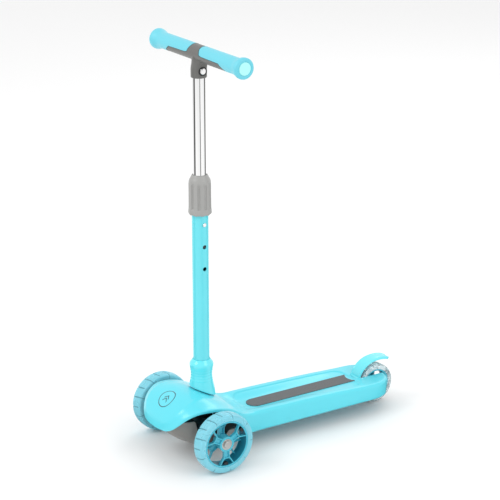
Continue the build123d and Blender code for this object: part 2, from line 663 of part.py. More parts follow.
half = rear_width / 2
axle = rod_x(axle_r - seat / 2, -36, 36, rear_y, rear_z)
put("rear_axle", axle)
rings = [rod_x(axle_r + 2.5, a, b, rear_y, rear_z) - rod_x(axle_r, -40, 40, rear_y, rear_z)
         for a, b in ((half - 2 + seat, slot_half - seat), (-slot_half + seat, 2 - half - seat))]
put("rear_axle_spacers", *rings)


# ---- rear brake ------------------------------------------------------------------------------
def make_fender():
    """Brake fender: barrel on its pin, curved plate over the wheel with a lifted tip."""
    y, z = brake_pin_y, brake_pin_z
    line = Spline((y + 1, z + 4), (y + 9, z + 17), (y + 27, z + 30.5), (y + 52, z + 34.8),
                  (y + 84, z + 30.5))
    plate = extrude(Plane.YZ * trace(line, 4), amount=brake_half, both=True)
    barrel = rod_x(4.5, -brake_half, brake_half, y, z)
    web = box(-brake_half, brake_half, y - 3, y + 3.2, z, z + 6)
    fender = plate + barrel + web - rod_x(2.5 + part_gap, -30, 30, y, z)
    return fender - box(-4, 4, y - 8, y + 4.2, z - 8, z + 4.2)


put("brake_fender", make_fender())
put("brake_pin", rod_x(2.5, -slot_half - 5.5, slot_half + 5.5, brake_pin_y, brake_pin_z))
coil = coil_x(-3.6, 3.6, brake_pin_y, brake_pin_z, 3.1, 0.5, 4)
put("brake_spring", coil)

# ---- write one file for each node, moved to the part's origin ------------------------------------
os.makedirs("parts", exist_ok=True)
for name, shape in nodes.items():
    export_step(Pos(0, -origin_y, 0) * shape, f"parts/{name}.step")
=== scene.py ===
import math

import bmesh
import bpy
import numpy as np
from mathutils import Matrix, Vector


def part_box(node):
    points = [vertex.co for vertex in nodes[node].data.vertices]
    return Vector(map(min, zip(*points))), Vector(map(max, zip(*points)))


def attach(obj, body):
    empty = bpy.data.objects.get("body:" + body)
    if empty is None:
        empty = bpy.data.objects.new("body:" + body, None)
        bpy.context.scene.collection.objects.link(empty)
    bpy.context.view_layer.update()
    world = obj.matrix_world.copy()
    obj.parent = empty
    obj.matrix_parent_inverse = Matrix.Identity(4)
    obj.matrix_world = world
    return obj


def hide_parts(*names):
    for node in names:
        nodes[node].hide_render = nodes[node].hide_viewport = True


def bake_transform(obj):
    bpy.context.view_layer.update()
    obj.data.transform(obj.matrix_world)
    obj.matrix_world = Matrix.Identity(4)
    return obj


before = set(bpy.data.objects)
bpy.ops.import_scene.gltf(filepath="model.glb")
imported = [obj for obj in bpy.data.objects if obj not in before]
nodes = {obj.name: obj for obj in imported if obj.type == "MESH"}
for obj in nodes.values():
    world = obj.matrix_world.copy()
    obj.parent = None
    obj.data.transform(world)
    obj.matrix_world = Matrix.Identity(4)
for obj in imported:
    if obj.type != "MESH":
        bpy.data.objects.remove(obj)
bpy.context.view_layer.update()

# -----------------------------------------------------------------------------
# Where the scooter stands: a pale seamless floor, three soft lamps and a long lens.
# The scooter drives towards -Y; its rider's left, +X, is the side turned to the camera.
scene = bpy.context.scene
scene.view_settings.view_transform = "Standard"
low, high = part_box("left_tyre")
axle_y = (low.y + high.y) / 2          # front axle, in the frame

azimuth, elevation = math.radians(57.21), math.radians(18.84)
back = Vector((math.sin(azimuth) * math.cos(elevation),
               -math.cos(azimuth) * math.cos(elevation), math.sin(elevation)))
right = Vector((math.cos(azimuth), math.sin(azimuth), 0))
up = back.cross(right)


def stand(name, data):
    """New object of that data in the scene."""
    thing = bpy.data.objects.new(name, data)
    scene.collection.objects.link(thing)
    return thing


def put(node, **values):
    """Set the node's plain inputs by name."""
    for label, value in values.items():
        node.inputs[label].default_value = value


camera_data = bpy.data.cameras.new("camera")
camera_data.sensor_width = 36.0
camera_data.lens = 130.6
camera_data.clip_end = 50.0
camera = stand("camera", camera_data)
aim = Vector((0, axle_y + 0.150, 0.300))
distance, sideways, upwards = 3.56724, -0.01112, 0.0823      # metres from the aim point
spot = aim + back * distance + right * sideways + up * upwards
camera.matrix_world = Matrix.Translation(spot) @ Matrix((right, up, back)).transposed().to_4x4()
scene.camera = camera


def lamp(name, place, size, power, target=(0, 0, 0.3)):
    """Square soft lamp at a place, turned to look at the target."""
    data = bpy.data.lights.new(name, "AREA")
    data.energy = power
    data.size = size
    light = stand(name, data)
    light.location = place
    light.rotation_euler = (Vector(place) - Vector(target)).to_track_quat("Z", "Y").to_euler()


lamp("key_lamp", (-0.6, -2.6, 2.8), 1.6, 30)
lamp("side_lamp", (2.8, 0.9, 2.2), 1.6, 16)
lamp("rear_lamp", (-1.8, 2.4, 2.2), 1.4, 10)
world = bpy.data.worlds.new("studio")
world.use_nodes = True
put(world.node_tree.nodes["Background"], Color=(1.0, 1.0, 1.0, 1.0), Strength=0.95)
scene.world = world

# Painted reflection: no boards stand there; the floor's colour darkens in bands round its middle
# for glossy rays only, so that dark stripes show in the chrome. Each band is given as shares of a
# full turn about the floor's middle, at its start, middle and end, and its tone.
painted_reflection_bands = [(0.10, 0.17, 0.24, 0.05), (0.425, 0.443, 0.461, 0.04), (0.66, 0.73, 0.80, 0.05)]
floor_half, floor_drop, floor_tone = 9, 0.0005, 0.93
floor_paint_colour = (floor_tone, floor_tone, floor_tone, 1)
floor_data = bpy.data.meshes.new("floor")
floor_data.from_pydata([(x * floor_half, y * floor_half, -floor_drop)
                        for x, y in ((-1, -1), (1, -1), (1, 1), (-1, 1))], [], [(0, 1, 2, 3)])
floor = stand("floor", floor_data)
floor_paint = bpy.data.materials.new("floor_paint")
floor_paint.use_nodes = True
floor_tree = floor_paint.node_tree
put(floor_tree.nodes["Principled BSDF"], Roughness=0.9)
floor_data.materials.append(floor_paint)
floor_place = floor_tree.nodes.new("ShaderNodeTexCoord")
floor_turn = floor_tree.nodes.new("ShaderNodeTexGradient")
floor_turn.gradient_type = "RADIAL"
floor_reflection_ramp = floor_tree.nodes.new("ShaderNodeValToRGB")
floor_reflection_ramp.color_ramp.interpolation = "EASE"
stops = floor_reflection_ramp.color_ramp.elements
stops[0].position, stops[0].color = 0.0, floor_paint_colour
stops[1].position, stops[1].color = 1.0, floor_paint_colour
for start, middle, end, tone in painted_reflection_bands:
    flat_half = (end - start) * 0.2
    for place, value in ((start, floor_tone), (middle - flat_half, tone),
                         (middle + flat_half, tone), (end, floor_tone)):
        stop = stops.new(place)
        stop.color = (value, value, value, 1)


def feed(tree, socket, value):
    """Link the value to the socket if it is an output, else set it there."""
    if isinstance(value, bpy.types.NodeSocket):
        tree.links.new(value, socket)
    else:
        socket.default_value = value


def mix_colours(tree, factor, first, second, blend="MIX"):
    """Colour mix node; factor and colours are outputs or plain values."""
    node = tree.nodes.new("ShaderNodeMix")
    node.data_type, node.blend_type = "RGBA", blend
    for place, value in ((0, factor), (6, first), (7, second)):
        feed(tree, node.inputs[place], value)
    return node.outputs[2]


feed(floor_tree, floor_turn.inputs["Vector"], floor_place.outputs["Object"])
feed(floor_tree, floor_reflection_ramp.inputs["Fac"], floor_turn.outputs["Fac"])
# Painted reflection: glossy rays see the dark bands, all other rays see the even floor tone.
glossy = floor_tree.nodes.new("ShaderNodeLightPath").outputs["Is Glossy Ray"]
feed(floor_tree, floor_tree.nodes["Principled BSDF"].inputs["Base Color"],
     mix_colours(floor_tree, glossy, floor_paint_colour, floor_reflection_ramp.outputs["Color"]))

# -----------------------------------------------------------------------------
# Deck and hood: one thick glossy moulding in cyan plastic. The hood swells over the steering gear
# and thins to a rim between the front wheels; the deck behind it has a sunk tread, a round tail
# and a slot for the rear wheel. Its underside is open, with ribs.
MM = 0.001
weld, sliver = 2e-6, 1e-7          # metres: nearer points merge, thinner faces go


def make_piece(name, grids, material, body, wrap=(False, True), smooth=40):
    """Mesh from grids of points (rows, columns, 3), millimetres from the front axle on the floor.
    Neighbouring points make quads; wrap joins last to first along rows or columns; doubles merge,
    so that seams and poles close, and faces turn outwards. smooth is the sharp edge's angle."""
    points, quads, start = [], [], 0
    for grid in grids:
        rows, columns, _ = grid.shape
        index = np.arange(rows * columns).reshape(rows, columns) + start
        if wrap[0]:
            index = np.vstack([index, index[:1]])
        if wrap[1]:
            index = np.hstack([index, index[:, :1]])
        quads.append(np.stack([index[:-1, :-1], index[1:, :-1], index[1:, 1:], index[:-1, 1:]],
                              -1).reshape(-1, 4))
        points.append(grid.reshape(-1, 3) * MM + np.array([0, axle_y, 0]))
        start += rows * columns
    mesh = bpy.data.meshes.new(name)
    mesh.from_pydata(np.vstack(points).tolist(), [], np.vstack(quads).tolist())
    clean = bmesh.new()
    clean.from_mesh(mesh)
    bmesh.ops.remove_doubles(clean, verts=clean.verts, dist=weld)
    bmesh.ops.dissolve_degenerate(clean, edges=clean.edges, dist=sliver)
    bmesh.ops.recalc_face_normals(clean, faces=clean.faces)
    clean.to_mesh(mesh)
    clean.free()
    mesh.polygons.foreach_set("use_smooth", [True] * len(mesh.polygons))
    mesh.set_sharp_from_angle(angle=math.radians(smooth))
    mesh.materials.append(material)
    piece = stand(name, mesh)
    if body:
        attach(piece, body)
    return piece


def through(y, stations):
    """Cubic Hermite curve through (place, value) stations, its slopes taken from the neighbours."""
    at = np.array([s[0] for s in stations], float)
    value = np.array([s[1] for s in stations], float)
    slope = np.gradient(value, at)
    slope[1:-1] = (value[2:] - value[:-2]) / (at[2:] - at[:-2])
    y = np.clip(y, at[0], at[-1])
    i = np.clip(np.searchsorted(at, y) - 1, 0, len(at) - 2)
    h = at[i + 1] - at[i]
    t = (y - at[i]) / h
    return ((2 * t**3 - 3 * t**2 + 1) * value[i] + (t**3 - 2 * t**2 + t) * h * slope[i]
            + (3 * t**2 - 2 * t**3) * value[i + 1] + (t**3 - t**2) * h * slope[i + 1])


def step(value, start, end):
    """0 before start, 1 after end, 3t^2 - 2t^3 between."""
    t = np.clip((value - start) / (end - start), 0, 1)
    return t * t * (3 - 2 * t)


def spaced_curve(points, count):
    """Smooth curve through points, as count places equally far apart along it."""
    points = np.array(points, float)
    knots = np.concatenate([[0], np.cumsum(np.linalg.norm(np.diff(points, axis=0), axis=1))])
    fine = np.linspace(0, knots[-1], 40 * count)
    line = np.stack([through(fine, list(zip(knots, points[:, k]))) for k in range(points.shape[1])],
                    -1)
    run = np.concatenate([[0], np.cumsum(np.linalg.norm(np.diff(line, axis=0), axis=1))])
    even = np.linspace(0, run[-1], count)
    return np.stack([np.interp(even, run, line[:, k]) for k in range(points.shape[1])], -1)


def math_node(tree, kind, *values):
    """Math node of that kind; each value is an output or a plain number."""
    node = tree.nodes.new("ShaderNodeMath")
    node.operation = kind
    for socket, value in zip(node.inputs, values):
        feed(tree, socket, value)
    return node.outputs[0]


def skin_group():
    """Shader group for moulded and painted skins: grain as a bump, clouds in colour and gloss."""
    group = bpy.data.node_groups.new("moulded_skin", "ShaderNodeTree")
    face = group.interface
    for label, kind, value in (("Colour", "NodeSocketColor", (0.5, 0.5, 0.5, 1)),
                               ("Variation", "NodeSocketFloat", 0.04),
                               ("Grain Scale", "NodeSocketFloat", 900.0),
                               ("Grain Height", "NodeSocketFloat", 0.05),
                               ("Roughness", "NodeSocketFloat", 0.35),
                               ("Roughness Spread", "NodeSocketFloat", 0.08)):
        face.new_socket(label, in_out="INPUT", socket_type=kind).default_value = value
    for label, kind in (("Colour", "NodeSocketColor"), ("Roughness", "NodeSocketFloat"),
                        ("Normal", "NodeSocketVector")):
        face.new_socket(label, in_out="OUTPUT", socket_type=kind)
    add, link = group.nodes.new, group.links.new
    given, out = add("NodeGroupInput").outputs, add("NodeGroupOutput").inputs
    place = add("ShaderNodeTexCoord").outputs["Object"]
    clouds, grain = add("ShaderNodeTexNoise"), add("ShaderNodeTexNoise")
    put(clouds, Scale=14.0, Detail=4.0)
    put(grain, Detail=3.0)
    link(place, clouds.inputs["Vector"])
    link(place, grain.inputs["Vector"])
    link(given["Grain Scale"], grain.inputs["Scale"])
    shift = math_node(group, "SUBTRACT", clouds.outputs["Fac"], 0.5)
    tone = add("ShaderNodeHueSaturation")
    link(given["Colour"], tone.inputs["Color"])
    link(math_node(group, "MULTIPLY_ADD", shift, given["Variation"], 1.0), tone.inputs["Value"])
    link(tone.outputs["Color"], out["Colour"])
    link(math_node(group, "MULTIPLY_ADD", shift, given["Roughness Spread"], given["Roughness"]),
         out["Roughness"])
    bump = add("ShaderNodeBump")
    put(bump, Distance=0.0004)
    link(given["Grain Height"], bump.inputs["Strength"])
    link(grain.outputs["Fac"], bump.inputs["Height"])
    link(bump.outputs["Normal"], out["Normal"])
    return group


moulded_skin = skin_group()


def finish_of(name, colour, roughness, grain=(900.0, 0.08), variation=0.06, spread=0.08, **plain):
    """Material with the moulded skin group; plain values go straight onto the shader's sockets."""
    material = bpy.data.materials.new(name)
    material.use_nodes = True
    tree = material.node_tree
    shader = tree.nodes["Principled BSDF"]
    skin = tree.nodes.new("ShaderNodeGroup")
    skin.node_tree = moulded_skin
    for label, value in (("Colour", (*colour, 1)), ("Variation", variation),
                         ("Grain Scale", grain[0]), ("Grain Height", grain[1]),
                         ("Roughness", roughness), ("Roughness Spread", spread)):
        skin.inputs[label].default_value = value
    for label, socket in (("Colour", "Base Color"), ("Roughness", "Roughness"),
                          ("Normal", "Normal")):
        tree.links.new(skin.outputs[label], shader.inputs[socket])
    for socket, value in plain.items():
        shader.inputs[socket.replace("_", " ").title().replace("Ior", "IOR")].default_value = value
    return material


cyan = (0.105, 0.70, 0.82)
deck_plastic = finish_of("deck_plastic", cyan, 0.30, grain=(1400.0, 0.10), coat_weight=0.25)

nose_tip, tail_end = -86.5, 460.0
deck_half, deck_top, deck_bottom = 61.0, 65.5, 31.0
wall = 3.0
column_y, socket_front, socket_rear, neck_gap = 24.0, 132.0, 110.0, 2.4
crest = [(nose_tip, 75), (-82, 88), (-76, 98.5), (-68, 109), (-56, 121), (-40, 129.5), (-22, 133),
         (1, socket_front - neck_gap), (47, socket_rear - neck_gap), (60, 99), (74, 88),
         (90, 76), (106, 69), (120, deck_top + 0.4), (130, deck_top), (150, deck_top)]
rim = [(nose_tip, 73.5), (-82, 79), (-76, 86.5), (-68, 96.5), (-57, 107), (-43, 114.5), (-28, 118),
       (-10, 118), (8, 115.5), (25, 111), (45, 103), (60, 93.5), (76, 83), (90, 77), (106, 74),
       (125, 74.2), (160, 73.8), (200, 72.9), (240, 71.8), (280, 70.6), (320, 69), (360, 67),
       (400, deck_top), (430, deck_top)]
lip_low = [(nose_tip, 69.8), (-82, 71.5), (-76, 78.5), (-68, 88.5), (-57, 99.5), (-43, 107.5),
           (-28, 110.8), (-10, 110.6), (8, 108), (25, 103), (45, 94)]
ridge_line = [(nose_tip, 30), (-79, 45), (-58, 54), (-28, 50), (5, 41), (35, 35), (50, 38),
              (64, 43), (80, 46), (110, 44), (400, 44)]
half_plan = [(0, nose_tip), (14, -86.2), (28, -84.6), (43, -81), (56, -75.5), (67, -67), (76, -55),
             (82.5, -41), (86.5, -26), (88, -10), (87.5, 8), (85, 25), (80.5, 42), (75, 58),
             (70, 72), (66, 86), (62.8, 102), (deck_half, 122), (deck_half, 180), (deck_half, 300),
             (deck_half, 394), (60.4, 410), (57.4, 425), (51, 438), (40.5, 449), (27, 456.5),
             (12, tail_end), (0, tail_end)]
tread_half, tread_front, tread_rear, tread_depth, tread_corner = 46.0, 116.0, 386.0, 2.0, 22.0
hood_rear, deck_front = 62.0, 104.0         # the hood's surface turns into the deck's between them
border_foot, border_top = 19.0, 50.0        # the borders' rise, from the deck's middle


def skin_height(x, y):
    """Upper surface: a nearly flat crown out to the ridge line, then a hollow flank that falls to
    the edge as (1 - s)^2 (1 + 2.2 s), s running from ridge to edge. Behind the hood the deck's
    borders stand higher than its middle. The sunk tread steps down over 2.4 mm along the distance
    to a rounded rectangle."""
    edge, middle, turn_x = through(y, rim), through(y, crest), through(y, ridge_line)
    side_x = np.interp(y, side_y, side_half)
    turn_x = np.minimum(turn_x, 0.8 * side_x)
    out = np.abs(x)
    s = np.clip((out - turn_x) / np.maximum(side_x - turn_x, 1), 0, 1)
    fall = 0.18 * np.maximum(middle - edge, 0) + 0.6
    crown = middle - fall * np.minimum(out / turn_x, 1) ** 2.4
    hood = edge + (crown - edge) * (1 - s) ** 2 * (1 + 2.2 * s)
    deck_face = middle + (edge - middle) * step(out, border_foot, border_top)
    top = hood + (deck_face - hood) * step(y, hood_rear, deck_front)
    mid_y, half_y = (tread_front + tread_rear) / 2, (tread_rear - tread_front) / 2
    qx, qy = out - tread_half + tread_corner, np.abs(y - mid_y) - half_y + tread_corner
    outside = (np.hypot(np.maximum(qx, 0), np.maximum(qy, 0)) + np.minimum(np.maximum(qx, qy), 0)
               - tread_corner)
    return top - tread_depth * step(-outside, -0.4, 2.0)


outline = spaced_curve(half_plan, 420)
side_y, side_half = outline[:, 1], np.maximum(outline[:, 0], 1)


def deck_skin():
    """Closed moulding. Rows go round the plan outline; columns run from the spine out over the top,
    round the edge (quarter circle), down the skirt and back up inside, one wall further in."""
    loop = np.vstack([outline, (outline * [-1, 1])[-2:0:-1]])
    spine_front, spine_rear = -28, 418
    arch_front, arch_run, arch_rise, tail_lift = 45, 66, 62, 11
    spine = np.stack([0 * loop[:, 0], np.clip(loop[:, 1], spine_front, spine_rear)], -1)
    span = np.linalg.norm(loop - spine, axis=1)
    y = loop[:, 1]
    round_r = 3.0 + 4.0 * step(y, 60, 125)
    edge_top = skin_height(loop[:, 0], y)
    arch_turn = np.clip((y - arch_front) / arch_run, 0, 1) * math.pi / 2
    wheel_arch = arch_rise * (1 - np.sin(arch_turn)) ** 1.2
    skirt = np.minimum(deck_bottom + 1 + wheel_arch, edge_top - 9)
    bottom = np.where(y < arch_front, through(y, lip_low), skirt)
    bottom = bottom + tail_lift * step(y, 440, tail_end) ** 1.5
    columns = []

    def ring(share, z, on_skin=False):
        """One column: the outline at that share of its span, at height z or z off the skin."""
        flat = spine + (loop - spine) * share[:, None]
        height = skin_height(flat[:, 0], flat[:, 1]) + z if on_skin else z
        columns.append(np.stack([flat[:, 0], flat[:, 1], height], -1))

    for s in np.linspace(0, 1, 58):
        ring(s * (1 - round_r / span), 0, True)
    for a in np.linspace(0, math.pi / 2, 8)[1:]:
        ring(1 - round_r * (1 - math.sin(a)) / span, -round_r * (1 - math.cos(a)), True)
    side_top = edge_top - round_r
    draft = 1.3
    for t in np.linspace(0, 1, 9)[1:]:
        ring(1 - draft * t**2 * step(y, 50, 120) / span, side_top + (bottom + 1.2 - side_top) * t)
    for inset, z in ((draft + 0.9, bottom + 0.2), (wall - 0.5, bottom),
                     (wall + 0.2, bottom + 0.8), (wall, side_top - 1.0)):
        ring(1 - inset / span, z)
    for s in np.linspace(1, 0, 30):
        ring(s * (1 - (wall + 1.5) / span), -wall, True)
    return np.stack(columns, 1)


def cut_by(piece, cutter):
    """The piece less the cutter, as an exact boolean, with the result kept as its mesh."""
    tool = piece.modifiers.new("cut", "BOOLEAN")
    tool.object = cutter
    tool.operation = "DIFFERENCE"
    tool.solver = "EXACT"
    bpy.context.view_layer.update()
    cut_piece = piece.evaluated_get(bpy.context.evaluated_depsgraph_get())
    result = bpy.data.meshes.new_from_object(cut_piece)
    piece.modifiers.clear()
    piece.data = result
    bpy.data.objects.remove(cutter)


def prism(name, outline, z0, z1):
    """Upright block over a closed outline of (x, y) points, for cutting."""
    count = len(outline)
    points = [(x * MM, y * MM + axle_y, z * MM) for z in (z0, z1) for x, y in outline]
    sides = [(i, (i + 1) % count, (i + 1) % count + count, i + count) for i in range(count)]
    mesh = bpy.data.meshes.new(name)
    mesh.from_pydata(points, [], [tuple(range(count))[::-1], tuple(range(count, 2 * count))]
                     + sides)
    return stand(name, mesh)


slot_half, slot_round_y, beyond_tail = 16.5, 403.0, 520
neck_x, neck_front, neck_rear = 17.5, 13, 35
turn = np.linspace(math.pi, 2 * math.pi, 25)
slot_front = [(slot_half * math.cos(a), slot_round_y + slot_half * math.sin(a)) for a in turn]
deck = make_piece("deck_moulding", [deck_skin()], deck_plastic, "deck",
                  (True, False), 50)
cut_by(deck, prism("slot_cutter", [(-slot_half, beyond_tail)] + slot_front
                   + [(slot_half, beyond_tail)], -20, 120))
cut_by(deck, prism("neck_cutter", [(-neck_x, neck_front), (neck_x, neck_front),
                                   (neck_x, neck_rear), (-neck_x, neck_rear)], 70, 160))
deck.data.polygons.foreach_set("use_smooth", [True] * len(deck.data.polygons))
deck.data.set_sharp_from_angle(angle=math.radians(40))


def left_of(path):
    """Unit steps to the left of a flat path, square to its run."""
    run = np.gradient(path, axis=0)
    return np.stack([-run[:, 1], run[:, 0]], -1) / np.linalg.norm(run, axis=1)[:, None]


def wall_along(path, z0, z1, thick):
    """Upright wall, open at both ends: a path of (x, y) carried up from z0 to z1, thick to its
    left."""
    path = np.array(path, float)
    inner = path + left_of(path) * thick
    ring = [(path, z0), (path, z1), (inner, z1), (inner, z0)]
    return np.stack([np.concatenate([p, np.full((len(p), 1), z)], 1) for p, z in ring], 1)


def plate(x0, x1, y0, y1, z0, z1):
    """Flat rib as a closed six-sided grid, its ends drawn to a line."""
    def end(x):
        return [(x, (y0 + y1) / 2, (z0 + z1) / 2)] * 4

    def section(x):
        return [(x, y0, z0), (x, y1, z0), (x, y1, z1), (x, y0, z1)]

    return np.array([end(x0), section(x0), section(x1), end(x1)], float)


slot_wall_end, rib_foot = 452, deck_bottom + 1.5
slot_wall_path = [(-slot_half, slot_wall_end)] + slot_front + [(slot_half, slot_wall_end)]
make_piece("slot_wall", [wall_along(slot_wall_path, deck_bottom + 0.5, deck_top - 1.6, 3.0)],
           deck_plastic, "deck")
ribs = []
for y in range(150, 380, 38):
    ribs.append(plate(-59, 59, y, y + 2.5, rib_foot, 62.5))
for x in (-27, 27):
    ribs.append(plate(x - 1.25, x + 1.25, 112, 388, rib_foot, 62.4))
for side in (-1, 1):
    for y, reach in ((424, 53), (436, 48)):
        ribs.append(plate(*sorted((side * 19, side * reach)), y, y + 2.5, 33.5, 61.5))
make_piece("deck_ribs", ribs, deck_plastic, "deck", smooth=30)
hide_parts("deck_shell")

# -----------------------------------------------------------------------------
# Grip strip: a grey rubber band glued in the tread, its face moulded in fine crossed ridges.
strip_rubber = finish_of("strip_rubber", (0.17, 0.175, 0.18), 0.75, grain=(2500.0, 0.3),
                         variation=0.15)
tree = strip_rubber.node_tree
place = tree.nodes.new("ShaderNodeTexCoord")
ridge_angle, ridge_scale = 38, 125.0
heights = []
for angle in (ridge_angle, -ridge_angle):
    aim = tree.nodes.new("ShaderNodeMapping")
    put(aim, Rotation=(0, 0, math.radians(angle)))
    ridge = tree.nodes.new("ShaderNodeTexWave")
    ridge.wave_profile = "SIN"
    put(ridge, Scale=ridge_scale)
    tree.links.new(place.outputs["Object"], aim.inputs["Vector"])
    tree.links.new(aim.outputs["Vector"], ridge.inputs["Vector"])
    heights.append(ridge.outputs["Fac"])
crossed = math_node(tree, "MULTIPLY", *heights)
ridges = tree.nodes.new("ShaderNodeBump")
put(ridges, Strength=0.7, Distance=0.0009)
tree.links.new(crossed, ridges.inputs["Height"])
strip_shader = tree.nodes["Principled BSDF"]
tree.links.new(ridges.outputs["Normal"], strip_shader.inputs["Normal"])
# Painted shade and highlight: the strip's colour is darker in the ridges' valleys and lighter on
# their crowns, mixed by the ridge height.
valley_painted_shade, crown = (0.115, 0.12, 0.125, 1), (0.23, 0.235, 0.24, 1)
tree.links.new(mix_colours(tree, crossed, valley_painted_shade, crown), strip_shader.inputs["Base Color"])
nodes["grip_strip"].data.materials.clear()
nodes["grip_strip"].data.materials.append(strip_rubber)

# -----------------------------------------------------------------------------
# Nose badge: a thin printed disc laid on the hood's slope. It shows only a dark ring and two
# plain chevrons, and follows the hood's skin a little proud of it.
badge_y, badge_r, badge_proud = -56.0, 20.5, 0.35
ridge_y = np.linspace(-86, -20, 200)
ridge_z = skin_height(0 * ridge_y, ridge_y)
arc = np.concatenate([[0], np.cumsum(np.hypot(np.diff(ridge_y), np.diff(ridge_z)))])
arc -= np.interp(badge_y, ridge_y, arc)


def all_round(count):
    """Angles once round, evenly spaced."""
    return np.linspace(0, 2 * math.pi, count, endpoint=False)


def badge_disc():
    """Disc: polar grid laid on the hood by arc length up its middle, its rim turned in."""
    radius = np.concatenate([np.linspace(0, badge_r - 0.2, 40), [badge_r, badge_r]])
    lift = np.concatenate([np.full(40, badge_proud), [badge_proud - 0.15, -1.0]])
    angle = all_round(120)
    x = radius[:, None] * np.cos(angle)
    y = np.interp(radius[:, None] * np.sin(angle), arc, ridge_y)
    return np.stack([x, y, skin_height(x, y) + lift[:, None]], -1)


badge_print = finish_of("badge_print", cyan, 0.25, grain=(1400.0, 0.05), coat_weight=0.5)
badge = make_piece("badge_disc", [badge_disc()], badge_print, "deck", smooth=50)
flat = np.array([v.co for v in badge.data.vertices])
across = flat[:, 0] / MM / badge_r
along = np.interp((flat[:, 1] - axle_y) / MM, ridge_y, arc) / badge_r
mark = np.stack([np.hypot(across, along), across * 0.5 + 0.5, along * 0.5 + 0.5, 0 * across + 1],
                -1)
layer = badge.data.color_attributes.new("badge_place", "FLOAT_COLOR", "POINT")
layer.data.foreach_set("color", mark.ravel())
tree = badge_print.node_tree
given = tree.nodes.new("ShaderNodeVertexColor")
given.layer_name = "badge_place"
parts = tree.nodes.new("ShaderNodeSeparateColor")
tree.links.new(given.outputs["Color"], parts.inputs["Color"])


def band(source, middle, half):
    """1 where the value lies within half of the middle, 0 elsewhere."""
    return math_node(tree, "COMPARE", source, middle, half)


line_half, arm_half = 0.035, 0.17
ring_mask = band(parts.outputs["Red"], 0.93, 0.045)
side_way = math_node(tree, "ABSOLUTE", math_node(tree, "SUBTRACT", parts.outputs["Green"], 0.5))
slanted = math_node(tree, "ADD", parts.outputs["Blue"], side_way)
chevrons = math_node(tree, "MAXIMUM", band(slanted, 0.66, line_half),
                     band(slanted, 0.50, line_half))
chevrons = math_node(tree, "MULTIPLY", chevrons, band(side_way, 0.0, arm_half))
ink_colour = (0.008, 0.075, 0.10, 1)


def skin_colour(tree):
    """Colour output of the material's moulded skin group."""
    return [n for n in tree.nodes if n.bl_idname == "ShaderNodeGroup"][0].outputs["Colour"]


printed = mix_colours(tree, math_node(tree, "MAXIMUM", ring_mask, chevrons), skin_colour(tree),
                      ink_colour)
tree.links.new(printed, tree.nodes["Principled BSDF"].inputs["Base Color"])
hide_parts("nose_badge")

# -----------------------------------------------------------------------------
# Steering housing: the grey belly bowl under the hood, moulded plastic with a satin skin. Its sides
# are cut away where the front beam and the tie rod come out.
housing_plastic = finish_of("housing_plastic", (0.25, 0.24, 0.225), 0.36, grain=(700.0, 0.2),
                            variation=0.1)
keel = [(-70, 72), (-66, 62), (-57, 50), (-45, 40.5), (-30, 31.5), (-15, 24.5), (0, 19), (10, 17.2),
        (24, 16.6), (40, 17), (56, 19.2), (70, 24), (80, 31), (86, 40), (86.2, 46)]
housing_half, housing_wall, housing_power = 52.0, 2.4, 3.2
housing_rim, nose_rise, side_dip, rear_rise = 74, 9, 53, 16


def housing_bowl():
    """Rows along the keel line; across, a superellipse |x/a|^3.2 + |z/b|^3.2 = 1 hung from the rim
    height, which dips at the side openings; a second layer lies one wall further in."""
    line = spaced_curve(keel, 90)
    y, bed = line[:, 0], line[:, 1]
    rim_z = (housing_rim + nose_rise * step(y, -70, -50) - side_dip * step(y, -24, -9)
             + rear_rise * step(y, 40, 56))
    rim_z = np.maximum(rim_z, bed + 0.5)
    half = housing_half * (0.62 + 0.38 * step(y, -70, -25)) * (1 - 0.06 * step(y, 50, 86))
    angle = np.linspace(0, math.pi, 61)
    power = 2 / housing_power
    c, s = np.cos(angle), np.sin(angle)
    x = half[:, None] * np.sign(c) * np.abs(c) ** power
    full = np.maximum(rim_z - bed, 0.5)[:, None] * np.abs(s) ** power
    outer = np.stack([x, np.repeat(y[:, None], 61, 1), rim_z[:, None] - full], -1)
    inside = outer * [0.95, 1, 1] + [0, 0, housing_wall]
    inside[..., 2] = np.minimum(inside[..., 2], rim_z[:, None])
    inside[..., 1] = np.clip(inside[..., 1], -67.5, 83.8)
    return np.concatenate([outer, inside[:, ::-1]], 1)


def end_sheets(grid):
    """Sheets that close a wall between its outer and inner layer at both ends of its rows."""
    count = grid.shape[1] // 2
    return [np.stack([row[:count], row[count:][::-1]], 0) for row in (grid[0], grid[-1])]


bowl = housing_bowl()
housing = make_piece("belly_housing", [np.concatenate([bowl, bowl[:, :1]], 1)] + end_sheets(bowl),
                     housing_plastic, "deck", (False, False), 50)
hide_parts("steering_housing")

# -----------------------------------------------------------------------------
# Wheels: a translucent cast tyre on a spoked plastic core, with two ball bearings on an 8 mm bolt.
# The front pair is blue and 120 mm across, the rear one nearly clear and 84 mm.
# Painted shade: the first value sets how far the tyres' colour is darkened in their grooves; the
# others are the grooves' depth and half width in mm.
groove_painted_shade, groove_depth, groove_half = 0.45, 1.5, 1.1


def cast_tyre(name, colour, transmission, roughness):
    """Cast polyurethane: see-through body with a soft skin; its colour is darkened in the grooves
    as painted shade.
    """
    material = finish_of(name, colour, roughness, grain=(420.0, 0.12), variation=0.10,
                         transmission_weight=transmission, ior=1.42, specular_ior_level=0.4)
    tree = material.node_tree
    given = tree.nodes.new("ShaderNodeVertexColor")
    given.layer_name = "groove_painted_shade_mask"
    groove_shaded_colour = mix_colours(tree, groove_painted_shade, skin_colour(tree), given.outputs["Color"], "MULTIPLY")
    tree.links.new(groove_shaded_colour, tree.nodes["Principled BSDF"].inputs["Base Color"])
    return material


